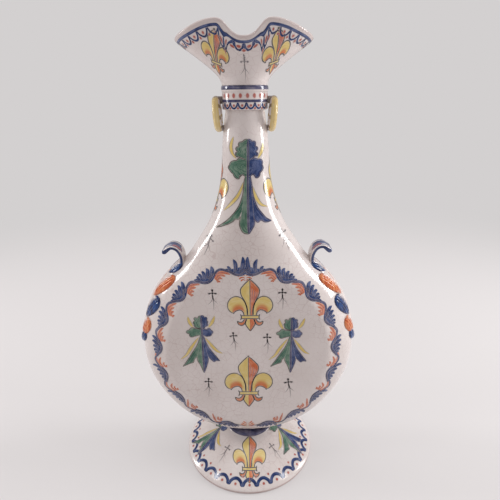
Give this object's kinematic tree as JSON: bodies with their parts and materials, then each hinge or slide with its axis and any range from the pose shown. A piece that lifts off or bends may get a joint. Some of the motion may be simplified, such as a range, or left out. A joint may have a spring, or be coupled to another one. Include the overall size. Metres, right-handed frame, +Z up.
{
  "type": "pilgrim flask",
  "caption": "Footed pilgrim flask vase in painted tin-glazed earthenware, flattened round body, tall neck with hanging rings, lobed flared mouth and scroll handles.",
  "frame": {"origin": "centre of the foot's base, on the surface the flask stands on", "axes": "+Z up, -Y to the front panel, X along the two scroll handles"},
  "size_m": [0.1924, 0.123, 0.3779],
  "materials": {
    "tin_glaze": "glossy crackled white tin glaze with painted decoration",
    "blue_glaze": "glossy, painted cobalt blue",
    "yellow_glaze": "glossy, painted yellow outside and white inside",
    "dark_glaze": "glossy, grey-brown glaze in the joints",
    "scroll_glaze": "glossy white glaze with cobalt blue edges and strokes",
    "relief_glaze": "glossy glaze painted orange and cobalt blue on the lobes"
  },
  "bodies": {
    "root": {"foot": "tin_glaze", "stem_ring": "blue_glaze", "body_front": "tin_glaze", "body_back": "tin_glaze", "neck": "tin_glaze", "collar": "tin_glaze", "mouth": "tin_glaze", "left_ring": "yellow_glaze", "right_ring": "yellow_glaze", "left_ring_lug": "dark_glaze", "right_ring_lug": "dark_glaze", "left_ring_pad": "dark_glaze", "right_ring_pad": "dark_glaze", "left_scroll": "scroll_glaze", "right_scroll": "scroll_glaze", "left_leaf": "relief_glaze", "right_leaf": "relief_glaze"}
  },
  "joints": []
}
